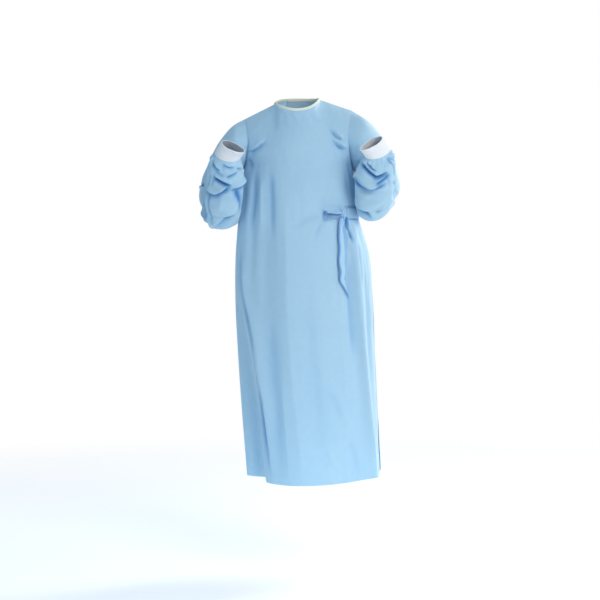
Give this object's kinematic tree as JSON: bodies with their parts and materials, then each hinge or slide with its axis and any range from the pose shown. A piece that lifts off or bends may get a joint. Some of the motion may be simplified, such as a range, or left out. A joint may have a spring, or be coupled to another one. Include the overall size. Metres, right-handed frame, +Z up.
{
  "type": "surgical gown",
  "caption": "Long-sleeved wrap gown in its worn form, hollow, with rib-knit cuffs, a bound neck, overlapping back panels and a belt tied at the side.",
  "frame": {"origin": "between the shoulders, at the height where the neckline crosses them, where the wearer carries the gown", "axes": "+Z up, the front faces -Y, +X towards the wearer's left"},
  "size_m": [0.6035, 0.4171, 1.165],
  "materials": {
    "gown_cloth": "blue spun-bonded nonwoven, soft matt with a faint sheen",
    "cuff_knit": "white rib-knit polyester",
    "neck_tape": "pale cream folded binding tape"
  },
  "bodies": {
    "root": {"front_panel": "gown_cloth", "back_panel_outer": "gown_cloth", "back_panel_inner": "gown_cloth", "sleeve_right": "gown_cloth", "sleeve_left": "gown_cloth", "cuff_right": "cuff_knit", "cuff_left": "cuff_knit", "neck_binding": "neck_tape", "neck_tab": "gown_cloth", "belt_strap": "gown_cloth", "belt_anchor": "gown_cloth", "belt_knot": "gown_cloth", "belt_loop": "gown_cloth", "belt_tail_front": "gown_cloth", "belt_tail_back": "gown_cloth"}
  },
  "joints": []
}
